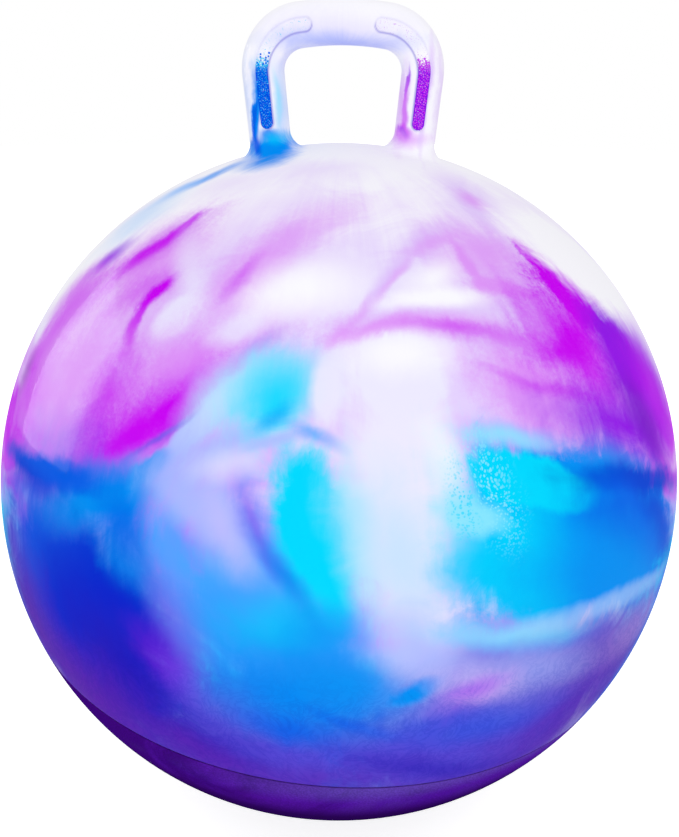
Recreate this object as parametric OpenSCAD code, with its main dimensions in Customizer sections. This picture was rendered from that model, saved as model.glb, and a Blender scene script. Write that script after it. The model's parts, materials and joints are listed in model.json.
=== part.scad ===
// Hopper ball: an inflated vinyl skin with a moulded loop handle and a push-in air valve.
// The origin is the middle of the patch that the ball rests on, with +Z up, the handle's bar
// along X and the valve on the +Y side.

/* [Ball] */
// Outside diameter of the inflated ball
ball_d = 450; // [380:5:560]
// Thickness of the glossy upper skin
skin_t = 1.2; // [1:0.1:3]
// Radius of the flat patch where the ball rests on the floor
patch_r = 30; // [20:1:45]

/* [Base] */
// Angle of the mould's parting line below the equator
parting_angle = 20; // [8:1:40]
// Lean of the parting line, down on the +X side
parting_lean = 5; // [0:0.5:10]
// Thickness of the stippled base skin
base_t = 1.8; // [1.2:0.1:4]
// Width of the groove along the parting line
groove_w = 1.4; // [0.6:0.1:2.4]
// Depth of the groove along the parting line
groove_depth = 0.6; // [0.2:0.1:0.8]

/* [Handle] */
// Outside diameter of the handle's tube
tube_d = 25; // [20:0.5:30]
// Wall of the handle's tube
tube_t = 3; // [2:0.5:5]
// Height of the bar's centre line above the top of the ball
bar_height = 68.5; // [60:0.5:90]
// Radius of the bar's slight arch
bar_arch_r = 170; // [120:5:400]
// Distance between the axes of the legs at the shoulders
leg_span = 94; // [84:1:130]
// Outward lean of each leg
leg_lean = 5; // [0:0.5:10]
// Radius of the shoulders' centre line
shoulder_r = 25; // [18:0.5:30]
// How much thicker the shoulders are than the legs and the bar
shoulder_swell = 0.2; // [0.1:0.05:0.6]
// Radius of the fillet where a leg flows into the ball
foot_fillet_r = 10; // [5:0.5:14]

/* [Grip strips] */
// Width of a stippled grip strip
strip_w = 8; // [5:0.5:12]
// Depth of a strip below the tube's surface
strip_depth = 0.8; // [0.4:0.1:1.5]
// Height of a strip's lower end above the leg's foot
strip_foot = 14; // [12:0.5:20]
// Distance from the middle of the bar to a strip's end
strip_reach = 18; // [8:1:22]

/* [Valve seat] */
// Latitude of the valve on the back of the ball
valve_latitude = 20; // [8:1:40]
// Diameter of the seat's bore
bore_d = 9.6; // [8:0.2:12]
// Diameter of the seat's body
seat_d = 26; // [24:0.5:36]
// Depth of the seat's body behind the ball's surface
seat_depth = 16; // [12:0.5:24]
// Diameter of the flange bonded to the inside of the skin
flange_d = 44; // [40:1:60]
// Thickness of the flange at its edge
flange_t = 2; // [1:0.5:4]
// Radius of the bead around the seat's mouth
bead_r = 1.2; // [0.6:0.1:1.6]

/* [Valve plug] */
// Diameter of the plug's head
head_d = 18; // [14:0.5:20]
// Thickness of the plug's head
head_t = 2.4; // [1.6:0.1:4]
// Width of the finger ridge across the head
ridge_w = 3.2; // [2:0.2:5]
// Length of the plug's stem below its head
stem_l = 19; // [14:0.5:26]
// Height of the sealing ribs on the stem
rib_h = 0.5; // [0.3:0.1:0.8]
// Width of a sealing rib
rib_w = 2; // [1:0.2:2.4]
// Number of sealing ribs
rib_count = 3; // [1:1:4]
// Length of the tapered tip
tip_l = 4; // [2:0.5:6]
// Diameter of the hollow inside the stem
stem_bore_d = 5; // [3:0.2:6]

/* [Fits] */
// Radial clearance of the plug's ribs in the bore
plug_clearance = 0.08; // [0.03:0.01:0.1]
// Radial clearance of the plug's head in its pocket
head_clearance = 0.3; // [0.2:0.05:0.6]
// Gap under the plug's head
head_gap = 0.2; // [0.1:0.05:0.5]
// Gap that the bond around the seat fills
bond_gap = 0.1; // [0.05:0.05:0.3]

/* [Hidden] */
$fn = 180;
overrun = 2;
ball_r = ball_d / 2;
centre_z = sqrt(ball_r * ball_r - patch_r * patch_r);
crown_z = centre_z + ball_r;
block_w = ball_d + 2 * overrun;

// Parting ring
ring_r = ball_r * cos(parting_angle);
ring_drop = ball_r * sin(parting_angle);

// Centre line of the handle, in X and Z: an arched bar, two round shoulders and two straight legs
tube_r = tube_d / 2;
hollow_d = tube_d - 2 * tube_t;
shoulder_swing = bar_arch_r - shoulder_r;
bar_half_angle = asin((leg_span / 2 - shoulder_r * cos(leg_lean)) / shoulder_swing);
arch_z = crown_z + bar_height - bar_arch_r;
shoulder_x = shoulder_swing * sin(bar_half_angle);
shoulder_z = arch_z + shoulder_swing * cos(bar_half_angle);
leg_x = shoulder_x + shoulder_r * cos(leg_lean);
leg_z = shoulder_z - shoulder_r * sin(leg_lean);

// How far the legs and the bar run into the shoulders, where the swell still covers them
lap_share = 0.5;
lap = lap_share * sqrt(shoulder_swell * (shoulder_r + tube_r));
lap_angle = asin(lap / bar_arch_r);

// Where a leg's axis meets the ball: its distance from the leg's top, and its place
foot_bite_share = 0.04;
leg_up = leg_z - centre_z;
leg_along = leg_x * sin(leg_lean) + leg_up * cos(leg_lean);
leg_off = leg_x * cos(leg_lean) - leg_up * sin(leg_lean);
leg_l = leg_along - sqrt(ball_r * ball_r - leg_off * leg_off);
foot_slope = asin(leg_off / ball_r);
foot_bite = foot_fillet_r * foot_bite_share;
foot_rim_r = tube_r + foot_fillet_r - foot_bite;
foot_rim_x = foot_rim_r + leg_off;
foot_sink = ball_r * cos(foot_slope) - sqrt(ball_r * ball_r - foot_rim_x * foot_rim_x) + foot_bite;
foot_h = foot_fillet_r + overrun;

// Grip strips
strip_end_angle = asin(strip_reach / bar_arch_r);
strip_leg_l = leg_l - strip_foot;

// Valve
pocket_d = head_d + 2 * head_clearance;
pocket_depth = head_t + head_gap;
inner_r = ball_r - skin_t - bond_gap;
flange_z = ball_r - sqrt(inner_r * inner_r - flange_d * flange_d / 4) + flange_t;
rib_d = bore_d - 2 * plug_clearance;
stem_d = rib_d - 2 * rib_h;
tip_end_d = stem_bore_d + rib_h;
rib_pitch = (stem_l - tip_l) / (rib_count + 1);
ridge_l = head_d - 2 * ridge_w;

// A sphere about the ball's centre
module ball(radius) {
    translate([0, 0, centre_z])
        sphere(r = radius);
}

// A block that fills everything below a height
module below(height) {
    translate([-block_w / 2, -block_w / 2, height - block_w])
        cube([block_w, block_w, block_w]);
}

// The leaning frame of the parting ring, whose plane is at z = 0
module at_parting() {
    translate([0, 0, centre_z])
        rotate([0, parting_lean, 0])
            translate([0, 0, -ring_drop])
                children();
}

// The groove of the parting line, a V square to the ball's surface
module parting_groove() {
    at_parting()
        rotate_extrude()
            translate([ring_r, 0])
                rotate(-parting_angle)
                    polygon([[-groove_depth, 0], [groove_depth, -groove_w], [groove_depth, groove_w]]);
}

// The frame of the arched bar, with angles from +X towards +Z
module at_arch() {
    translate([0, 0, arch_z])
        rotate([90, 0, 0])
            children();
}

// The frame of the +X shoulder, with angles from +X towards +Z
module at_shoulder() {
    translate([shoulder_x, 0, shoulder_z])
        rotate([90, 0, 0])
            children();
}

// The frame of the +X leg at its top, with +Z down along the leg
module at_leg() {
    translate([leg_x, 0, leg_z])
        rotate([0, 180 + leg_lean, 0])
            children();
}

// What is on the +X side, and again on the -X side
module both_sides() {
    children();
    mirror([1, 0, 0])
        children();
}

// The +X leg as a rod, from inside its shoulder to a distance past the ball's surface
module leg_rod(diameter, past) {
    at_leg()
        translate([0, 0, -lap])
            cylinder(d = diameter, h = lap + leg_l + past);
}

// The whole handle's centre line as a rod
module loop_rod(diameter, past) {
    at_arch()
        rotate([0, 0, 90 - bar_half_angle - lap_angle])
            rotate_extrude(angle = 2 * bar_half_angle + 2 * lap_angle)
                translate([bar_arch_r, 0])
                    circle(d = diameter);
    both_sides() {
        at_shoulder()
            rotate([0, 0, -leg_lean])
                rotate_extrude(angle = 90 - bar_half_angle + leg_lean)
                    translate([shoulder_r, 0])
                        circle(d = diameter + shoulder_swell);
        leg_rod(diameter, past);
    }
}

// The flared foot of the +X leg, before the ball is taken from it
module foot_flare() {
    at_leg()
        translate([0, 0, leg_l + foot_sink])
            rotate([180, 0, 0])
                rotate_extrude()
                    difference() {
                        square([foot_rim_r, foot_fillet_r]);
                        translate([foot_rim_r, foot_fillet_r])
                            circle(r = foot_fillet_r);
                    }
}

// One strip's outline on the +X half, from the middle of the tube out through its -Y face
module strip_block() {
    at_arch()
        rotate([0, 0, 90 - bar_half_angle - lap_angle])
            rotate_extrude(angle = bar_half_angle + lap_angle - strip_end_angle)
                translate([bar_arch_r - strip_w / 2, 0])
                    square([strip_w, tube_d]);
    at_shoulder()
        rotate([0, 0, -leg_lean])
            rotate_extrude(angle = 90 - bar_half_angle + leg_lean)
                translate([shoulder_r - strip_w / 2 - shoulder_swell / 2, 0])
                    square([strip_w + shoulder_swell, tube_d]);
    at_leg()
        translate([-strip_w / 2, -tube_d, -lap])
            cube([strip_w, tube_d, lap + strip_leg_l]);
    at_leg()
        translate([0, 0, strip_leg_l])
            rotate([90, 0, 0])
                cylinder(d = strip_w + shoulder_swell, h = tube_d);
    at_arch()
        rotate([0, 0, -strip_end_angle])
            translate([0, bar_arch_r, 0])
                cylinder(d = strip_w + shoulder_swell, h = tube_d);
}

// The valve's frame on the ball's surface, with +Z outwards
module at_valve() {
    translate([0, 0, centre_z])
        rotate([valve_latitude - 90, 0, 0])
            translate([0, 0, ball_r])
                children();
}

// The glossy skin above the parting line, open under the legs and round the valve
module upper_shell() {
    color("mediumslateblue")
        difference() {
            ball(ball_r);
            ball(ball_r - skin_t);
            at_parting()
                below(0);
            parting_groove();
            both_sides()
                leg_rod(hollow_d, leg_l);
            at_valve()
                cylinder(d = seat_d + 2 * bond_gap, h = seat_depth, center = true);
        }
}

// The stippled skin below the parting line, flat where it rests
module base_shell() {
    color("indigo")
        difference() {
            intersection() {
                ball(ball_r);
                at_parting()
                    below(0);
            }
            below(0);
            difference() {
                ball(ball_r - base_t);
                below(base_t);
            }
            parting_groove();
        }
}

// The hollow loop handle, with flared feet and stippled strips on its front and back
module handle() {
    color("lavender")
        difference() {
            union() {
                difference() {
                    union() {
                        loop_rod(tube_d, foot_h);
                        both_sides()
                            foot_flare();
                    }
                    both_sides() {
                        strip_block();
                        mirror([0, 1, 0])
                            strip_block();
                    }
                }
                loop_rod(tube_d - 2 * strip_depth, foot_h);
            }
            loop_rod(hollow_d, foot_h + overrun);
            ball(ball_r);
        }
}

// The valve's seat: a body through the skin, a bonded flange behind it and a bead at its mouth
module valve_seat() {
    color("whitesmoke")
        at_valve()
            difference() {
                union() {
                    translate([0, 0, -seat_depth])
                        cylinder(d = seat_d, h = seat_depth);
                    rotate_extrude()
                        translate([seat_d / 2 - bead_r, 0])
                            circle(r = bead_r);
                    intersection() {
                        translate([0, 0, -flange_z])
                            cylinder(d = flange_d, h = flange_z);
                        translate([0, 0, -ball_r])
                            sphere(r = inner_r);
                    }
                }
                translate([0, 0, -seat_depth - overrun])
                    cylinder(d = bore_d, h = seat_depth + 2 * overrun);
                translate([0, 0, -pocket_depth])
                    cylinder(d = pocket_d, h = pocket_depth + overrun);
            }
}

// The push-in plug: a head with a finger ridge, and a ribbed, hollow stem with a tapered tip
module valve_plug() {
    color("white")
        at_valve()
            difference() {
                union() {
                    translate([0, 0, -head_t])
                        cylinder(d = head_d, h = head_t);
                    rotate([0, 90, 0])
                        cylinder(d = ridge_w, h = ridge_l, center = true);
                    translate([0, 0, -head_t - stem_l + tip_l])
                        cylinder(d = stem_d, h = stem_l - tip_l);
                    translate([0, 0, -head_t - stem_l])
                        cylinder(d1 = tip_end_d, d2 = stem_d, h = tip_l);
                    for (i = [1 : rib_count])
                        translate([0, 0, -head_t - i * rib_pitch])
                            rotate_extrude()
                                polygon([[0, -rib_w / 2], [stem_d / 2, -rib_w / 2], [rib_d / 2, 0],
                                         [stem_d / 2, rib_w / 2], [0, rib_w / 2]]);
                }
                translate([0, 0, -head_t - stem_l - overrun])
                    cylinder(d = stem_bore_d, h = stem_l + overrun);
            }
}

upper_shell();
base_shell();
handle();
valve_seat();
valve_plug();
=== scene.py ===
"""A hopper ball: marbled vinyl skin, moulded loop handle with grip strips, stippled base and an air valve.

The packed model is the fixed frame. The skins and the handle are remade here as fine meshes in the same
places, and the valve keeps its own solids. One marbled dye runs through every vinyl surface.
"""

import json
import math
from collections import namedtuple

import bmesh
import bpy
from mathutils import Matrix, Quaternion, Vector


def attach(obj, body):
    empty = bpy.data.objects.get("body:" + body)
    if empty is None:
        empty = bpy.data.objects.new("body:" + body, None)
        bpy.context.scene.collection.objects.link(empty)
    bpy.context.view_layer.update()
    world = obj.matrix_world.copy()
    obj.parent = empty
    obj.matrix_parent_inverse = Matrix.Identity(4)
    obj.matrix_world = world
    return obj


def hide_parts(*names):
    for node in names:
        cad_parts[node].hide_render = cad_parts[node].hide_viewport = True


bl_info = {
    "name": "Hopper ball",
    "version": (1, 0, 0),
    "blender": (4, 5, 0),
    "location": "View3D > Sidebar > Hopper ball",
    "description": "Builds the skins, handle, grip strips, valve finish and studio of a marbled hopper ball",
    "category": "Object",
}

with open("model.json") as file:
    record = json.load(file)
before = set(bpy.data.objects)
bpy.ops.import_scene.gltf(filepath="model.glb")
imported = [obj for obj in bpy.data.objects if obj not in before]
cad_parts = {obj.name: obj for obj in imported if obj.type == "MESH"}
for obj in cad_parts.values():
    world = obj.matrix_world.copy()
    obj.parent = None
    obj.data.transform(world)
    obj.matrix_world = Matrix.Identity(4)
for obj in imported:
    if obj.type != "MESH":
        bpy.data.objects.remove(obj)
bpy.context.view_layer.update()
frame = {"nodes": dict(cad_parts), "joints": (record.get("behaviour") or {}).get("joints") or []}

MILLIMETRE = 0.001
PHOTO_WIDTH = 679
PHOTO_HEIGHT = 837
SENSOR_SIDE = 36.0

VALVE_JOINT = frame["joints"][0]
VALVE_AXIS = Vector(VALVE_JOINT["axis"]).normalized()


def length(name, text, default):
    """A size in metres that a user may change."""
    return bpy.props.FloatProperty(name=name, description=text, default=default, precision=5, unit="LENGTH")


def angle(name, text, degrees):
    """An angle that a user may change."""
    default = math.radians(degrees)
    return bpy.props.FloatProperty(name=name, description=text, default=default, subtype="ANGLE")


def count(name, text, default):
    """A whole number that a user may change."""
    return bpy.props.IntProperty(name=name, description=text, default=default, min=1)


def share(name, text, default):
    """A plain number that a user may change."""
    return bpy.props.FloatProperty(name=name, description=text, default=default, precision=4)


def dye(name, text, red, green, blue):
    """A dye's colour as it is seen, each part from 0 to 255."""
    return bpy.props.FloatVectorProperty(
        name=name,
        description=text,
        default=(red / 255, green / 255, blue / 255),
        subtype="COLOR_GAMMA",
        size=3,
        min=0.0,
        max=1.0,
    )


class BallSizes(bpy.types.PropertyGroup):
    """Sizes of the ball's two skins."""

    radius: length("Ball radius", "Radius of the inflated ball", 0.225)
    patch_radius: length("Patch radius", "Radius of the flat where the ball rests on the floor", 0.030)
    skin: length("Upper wall", "Thickness of the glossy upper skin", 0.0012)
    base_skin: length("Base wall", "Thickness of the stippled base skin", 0.0018)
    ring_angle: angle("Ring angle", "How far the parting ring lies below the ball's middle", 20.0)
    ring_lean: angle("Ring lean", "How far the parting ring leans down towards +X", 5.0)
    groove_width: length("Groove width", "Width of the groove at the parting ring", 0.0014)
    groove_depth: length("Groove depth", "Depth of the groove at the parting ring", 0.0006)
    lip_radius: length("Lip radius", "Rounding of the groove's two lips", 0.0005)
    lap: length("Lap", "How far the base reaches up under the upper skin", 0.004)
    segments: count("Segments", "Faces round the ball", 360)
    rows: count("Rows", "Faces from the top of the ball to its bottom", 180)


class HandleSizes(bpy.types.PropertyGroup):
    """Sizes of the loop handle and its grip strips."""

    tube_radius: length("Tube radius", "Outer radius of the handle's tube", 0.0125)
    wall: length("Tube wall", "Wall of the handle's tube", 0.003)
    bar_height: length("Bar height", "From the top of the ball to the middle of the bar", 0.0685)
    arch_radius: length("Arch radius", "Radius of the bar's slight arch", 0.170)
    leg_half_span: length("Leg half span", "From the middle to a leg's axis, below the shoulder", 0.047)
    leg_lean: angle("Leg lean", "How far the legs lean in towards the ball", 5.0)
    shoulder_radius: length("Shoulder radius", "Bend radius between the bar and a leg", 0.025)
    foot_fillet: length("Foot fillet", "Radius where a leg runs out on to the ball", 0.010)
    strip_width: length("Strip width", "Width of a sunk grip strip", 0.008)
    strip_depth: length("Strip depth", "How deep a grip strip is sunk", 0.0008)
    strip_rim: length("Strip rim", "Height of the raised edge round a grip strip", 0.00022)
    strip_foot: length("Strip foot", "From the ball up to the lower end of a grip strip", 0.014)
    strip_reach: length("Strip reach", "From the middle of the bar to the upper end of a grip strip", 0.018)
    around: count("Faces round", "Faces round the tube", 176)
    along: length("Face length", "Length of a face along the tube", 0.0008)
    grain_spacing: length("Grain spacing", "Least distance between two grains in a strip", 0.00105)
    grain_width: length("Grain width", "Width of one grain in a strip", 0.00115)
    grain_height: length("Grain height", "Height of one grain in a strip", 0.0006)


class DyeColours(bpy.types.PropertyGroup):
    """Colours of the marbled vinyl."""

    white: dye("White", "Undyed vinyl at the crown", 250, 249, 255)
    mist: dye("Mist", "Palest lavender", 234, 231, 254)
    ice: dye("Ice", "Pale blue", 200, 224, 255)
    periwinkle: dye("Periwinkle", "Lavender blue", 170, 185, 254)
    lilac: dye("Lilac", "Pale pink violet", 222, 194, 251)
    pink: dye("Pink", "Pink violet", 221, 148, 247)
    orchid: dye("Orchid", "Bright pink violet", 206, 78, 242)
    magenta: dye("Magenta", "Hot pink violet", 200, 2, 242)
    violet: dye("Violet", "Strong violet", 146, 20, 232)
    purple: dye("Purple", "Dark violet", 92, 24, 178)
    plum: dye("Plum", "Violet of the base", 66, 8, 130)
    # Aubergine is painted shade: the dark of the base's underside, of the parting groove and of the pits
    # between the base's pebbles.
    shade_aubergine: dye("Aubergine", "Darkest violet under the base", 42, 5, 84)
    iris: dye("Iris", "Blue violet", 86, 70, 212)
    indigo: dye("Indigo", "Dark blue violet", 34, 16, 184)
    royal: dye("Royal", "Deep blue", 0, 34, 204)
    blue: dye("Blue", "Strong blue", 0, 92, 230)
    azure: dye("Azure", "Clear blue", 0, 144, 243)
    sky: dye("Sky", "Light blue", 70, 163, 254)
    cyan: dye("Cyan", "Bright green blue", 0, 213, 253)
    aqua: dye("Aqua", "Pale green blue", 138, 228, 255)


class FinishValues(bpy.types.PropertyGroup):
    """Gloss and grain of the vinyl."""

    gloss: share("Gloss", "Weight of the gloss coat on the vinyl", 0.05)
    gloss_roughness: share("Gloss roughness", "Roughness of the gloss coat", 0.06)
    stipple_roughness: share("Stipple roughness", "Roughness of the stippled skin", 0.42)
    stipple_size: length("Stipple size", "Size of one pebble in the stippled skin", 0.0013)
    stipple_height: length("Stipple height", "Height of one pebble in the stippled skin", 0.0006)
    swirl: length("Swirl", "How far the large swirls push the dye", 0.010)
    wisp: length("Wisp", "How far the small swirls push the dye", 0.0035)
    curl: length("Curl", "How far the smallest swirls push the dye", 0.0009)
    fray: share("Fray", "How ragged the edges of the dye are", 1.4)
    grain: share("Grain", "How grainy the dye is where it is thin", 0.5)


class StudioValues(bpy.types.PropertyGroup):
    """Camera and light."""

    distance: length("Camera distance", "From the camera to the middle of the ball", 0.630)
    elevation: angle("Camera elevation", "Height of the camera above the middle of the ball", 27.35)
    aim: angle("Camera aim", "How far above the middle of the ball the camera looks", 3.57)
    roll: angle("Camera roll", "How far the camera is turned about its own axis", 0.58)
    lens: share("Lens", "Focal length in millimetres on the long side of a 36 mm frame", 37.97)
    ambient: share("Ambient", "Strength of the white light from all round", 0.87)
    softbox: share("Softbox", "Power of the softbox at the left, in watts", 15.0)
    front_light: share("Front light", "Power of the light above the camera, in watts", 5.5)
    floor_shade: share("Floor shade", "How much of the light the floor gives back", 0.9)
    floor_lift: share("Floor lift", "White added to the floor as the camera sees it", 0.65)


SETTINGS = (
    ("hopper_ball", BallSizes),
    ("hopper_handle", HandleSizes),
    ("hopper_dyes", DyeColours),
    ("hopper_finish", FinishValues),
    ("hopper_studio", StudioValues),
)


def ball():
    return bpy.context.scene.hopper_ball


def handle():
    return bpy.context.scene.hopper_handle


def finish_values():
    return bpy.context.scene.hopper_finish


def studio():
    return bpy.context.scene.hopper_studio


def linear(colour):
    """A seen colour as the light that a shader works with, with full opacity."""
    parts = [part / 12.92 if part <= 0.04045 else ((part + 0.055) / 1.055) ** 2.4 for part in colour]
    return (*parts, 1.0)


def dye_colour(name):
    return linear(getattr(bpy.context.scene.hopper_dyes, name))


def ball_centre():
    """The middle of the ball: the flat patch touches the floor at zero height."""
    sizes = ball()
    return Vector((0.0, 0.0, math.sqrt(sizes.radius ** 2 - sizes.patch_radius ** 2)))


# The camera, and the place on the object that a pixel of the photograph shows


def camera_frame():
    """The camera's place and its right, up and forward directions."""
    view = studio()
    place = ball_centre() + view.distance * Vector((0.0, -math.cos(view.elevation), math.sin(view.elevation)))
    tilt = view.elevation - view.aim
    forward = Vector((0.0, math.cos(tilt), -math.sin(tilt)))
    level_up = Vector((0.0, math.sin(tilt), math.cos(tilt)))
    level_right = Vector((1.0, 0.0, 0.0))
    up = level_up * math.cos(view.roll) - level_right * math.sin(view.roll)
    right = level_right * math.cos(view.roll) + level_up * math.sin(view.roll)
    return place, right, up, forward


def pixel_ray(pixel):
    """The camera's place and the direction that a pixel looks in."""
    place, right, up, forward = camera_frame()
    focal = studio().lens / SENSOR_SIDE * PHOTO_HEIGHT
    across = (pixel[0] - PHOTO_WIDTH / 2) / focal
    down = (pixel[1] - PHOTO_HEIGHT / 2) / focal
    return place, (forward + right * across - up * down).normalized()


def ball_point(pixel):
    """Where a pixel's ray meets the ball, or the nearest point of the ball's edge."""
    place, direction = pixel_ray(pixel)
    centre = ball_centre()
    radius = ball().radius
    away = place - centre
    reach = -away.dot(direction)
    miss = away.length_squared - reach ** 2
    if miss >= radius ** 2:
        nearest = away + direction * reach
        return centre + nearest.normalized() * radius
    return place + direction * (reach - math.sqrt(radius ** 2 - miss))


def handle_point(pixel):
    """Where a pixel's ray meets the front of the handle."""
    place, direction = pixel_ray(pixel)
    front = -handle().tube_radius
    return place + direction * ((front - place.y) / direction.y)


# Shader and geometry nodes


class Wire:
    """A socket of a node tree. Arithmetic on wires adds the Math nodes that it needs."""

    def __init__(self, tree, socket=None):
        self.tree = tree
        self.socket = socket

    def node(self, kind, settings=None, values=None, output=0):
        """Adds a node, sets it up, fills or links its sockets, and gives one of its outputs."""
        made = self.tree.nodes.new(kind)
        for name, value in (settings or {}).items():
            if name == "stops":
                self.fill_ramp(made.color_ramp, value)
            else:
                setattr(made, name, value)
        for key, value in (values or {}).items():
            if isinstance(value, Wire):
                self.tree.links.new(value.socket, made.inputs[key])
            else:
                made.inputs[key].default_value = value
        return Wire(self.tree, made.outputs[output] if len(made.outputs) else None)

    @staticmethod
    def fill_ramp(ramp, stops):
        while len(ramp.elements) < len(stops):
            ramp.elements.new(0.5)
        for element, (position, colour) in zip(ramp.elements, stops):
            element.position = position
            element.color = colour

    def math(self, operation, first, second):
        return self.node("ShaderNodeMath", {"operation": operation}, {0: first, 1: second})

    def __add__(self, other):
        return self.math("ADD", self, other)

    __radd__ = __add__

    def __sub__(self, other):
        return self.math("SUBTRACT", self, other)

    def __rsub__(self, other):
        return self.math("SUBTRACT", other, self)

    def __mul__(self, other):
        return self.math("MULTIPLY", self, other)

    __rmul__ = __mul__

    def most(self, other):
        return self.math("MAXIMUM", self, other)

    def ease(self, low, high, low_value=0.0, high_value=1.0):
        """A smooth step between two values of this wire."""
        return self.node(
            "ShaderNodeMapRange",
            {"interpolation_type": "SMOOTHSTEP"},
            {0: self, 1: low, 2: high, 3: low_value, 4: high_value},
        )

    def over(self, under, colour):
        """Lays a colour over another, as thick as this wire says."""
        return self.node("ShaderNodeMix", {"data_type": "RGBA"}, {0: self, 6: under, 7: colour}, 2)

    def vector(self, operation, second=(0, 0, 0), third=(0, 0, 0), scale=1.0):
        values = {0: self, 1: second, 2: third, 3: scale}
        return self.node("ShaderNodeVectorMath", {"operation": operation}, values)

    def size(self):
        return self.node("ShaderNodeVectorMath", {"operation": "LENGTH"}, {0: self}, 1)

    def part(self, axis):
        """A place's part along X, Y or Z."""
        return self.node("ShaderNodeSeparateXYZ", values={0: self}, output=axis)

    def noise(self, scale, detail=2.0, roughness=0.5, distortion=0.0, output=0):
        """Noise at this wire's place, with features about one part in scale of a metre."""
        return self.node("ShaderNodeTexNoise", {"normalize": True}, {
            "Vector": self,
            "Scale": scale,
            "Detail": detail,
            "Roughness": roughness,
            "Distortion": distortion,
        }, output)


# The marbled dye, as splashes laid one over another; a few of the splashes are painted shade and painted
# highlights. Each splash runs between two pixels of the photograph, is so many pixels wide to each side, and
# covers what lies under it by its strength.

Splash = namedtuple("Splash", "dye start end breadth strength softness")
CLOUD_SOFTNESS = 1.0
SPLASH_SOFTNESS = 0.6
POOL_SOFTNESS = 0.28


def cloud(colour, start, end, breadth, strength=0.9):
    """A splash that fades all the way out from its middle."""
    return Splash(colour, start, end, breadth, strength, CLOUD_SOFTNESS)


def splash(colour, start, end, breadth, strength=0.9):
    """A splash with a soft edge."""
    return Splash(colour, start, end, breadth, strength, SPLASH_SOFTNESS)


def pool(colour, start, end, breadth, strength=1.0, softness=POOL_SOFTNESS):
    """A splash that is even inside and has a clear edge."""
    return Splash(colour, start, end, breadth, strength, softness)


GROUND = (
    pool("white", (140, 190), (570, 195), 92),
    cloud("mist", (220, 315), (500, 310), 70, 1.0),
    cloud("lilac", (55, 400), (300, 235), 75, 1.0),
    cloud("lilac", (470, 250), (650, 420), 80, 1.0),
    pool("royal", (0, 540), (150, 715), 105),
    pool("purple", (15, 590), (130, 735), 13, 0.8, 0.7),
    pool("sky", (205, 515), (330, 700), 95, 1.0, 0.4),
    pool("blue", (190, 710), (440, 745), 46, 1.0, 0.5),
    cloud("iris", (170, 698), (265, 748), 26, 1.0),
    pool("iris", (430, 730), (655, 645), 50, 1.0, 0.4),
    pool("iris", (150, 742), (345, 778), 22, 1.0, 0.5),
    pool("iris", (345, 778), (570, 745), 30, 1.0, 0.5),
    cloud("periwinkle", (480, 690), (640, 640), 30, 0.4),
    pool("purple", (520, 752), (662, 632), 13, 0.7, 0.7),
    pool("azure", (470, 535), (710, 530), 96, 1.0, 0.16),
    splash("mist", (392, 330), (415, 655), 56, 1.0),
    cloud("purple", (90, 732), (340, 800), 9, 0.6),
    cloud("purple", (340, 800), (590, 756), 9, 0.6),
)

LEFT_CROWN = (
    cloud("white", (45, 300), (205, 182), 17),
    pool("azure", (298, 150), (236, 164), 6, 1.0, 0.5),
    splash("azure", (252, 158), (196, 183), 2.5, 0.9),
    cloud("sky", (212, 175), (158, 201), 2.5, 0.8),
    cloud("ice", (178, 191), (110, 238), 6, 0.8),
    cloud("lilac", (200, 191), (262, 177), 8, 0.3),
    cloud("lilac", (285, 168), (360, 164), 12, 0.45),
    cloud("lilac", (285, 205), (370, 200), 12, 0.3),
)

LEFT_BLOOM = (
    cloud("pink", (190, 234), (92, 296), 24, 0.75),
    cloud("pink", (196, 236), (140, 285), 15, 0.7),
    cloud("orchid", (200, 217), (116, 276), 9, 0.8),
    splash("magenta", (205, 213), (160, 244), 3.5),
    splash("magenta", (174, 236), (118, 273), 5, 1.0),
    cloud("violet", (130, 241), (92, 272), 4),
    cloud("orchid", (98, 268), (56, 312), 8, 0.7),
    cloud("magenta", (100, 278), (36, 356), 9),
    cloud("magenta", (44, 343), (18, 430), 9),
    cloud("plum", (33, 360), (20, 395), 3, 0.4),
    cloud("pink", (110, 300), (36, 450), 40),
    cloud("orchid", (118, 302), (184, 275), 11, 0.7),
    splash("magenta", (178, 279), (138, 308), 5, 1.0),
    splash("magenta", (152, 295), (126, 336), 4),
    cloud("orchid", (131, 320), (122, 362), 4),
    pool("mist", (146, 340), (206, 296), 13, 0.85),
    cloud("mist", (188, 245), (212, 345), 15, 0.7),
    cloud("pink", (212, 314), (280, 246), 19, 0.8),
    splash("magenta", (226, 298), (264, 260), 7, 0.75),
    cloud("pink", (250, 275), (345, 208), 18, 0.7),
    cloud("pink", (118, 385), (230, 342), 28, 0.85),
    cloud("orchid", (70, 480), (244, 362), 34, 1.0),
    cloud("magenta", (80, 476), (205, 386), 22, 1.0),
    cloud("magenta", (84, 440), (124, 366), 16, 0.8),
    splash("magenta", (148, 425), (188, 394), 9, 1.0),
    splash("magenta", (84, 474), (162, 427), 11, 1.0),
    cloud("pink", (150, 372), (205, 352), 12, 0.6),
    cloud("violet", (172, 432), (264, 348), 9, 0.7),
    pool("periwinkle", (164, 459), (276, 358), 15, 0.95),
    cloud("violet", (168, 440), (215, 396), 2, 0.6),
    cloud("blue", (130, 462), (188, 420), 3, 0.6),
    splash("mist", (214, 336), (268, 318), 13, 0.7),
    cloud("white", (255, 296), (362, 284), 22, 1.0),
)

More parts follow.
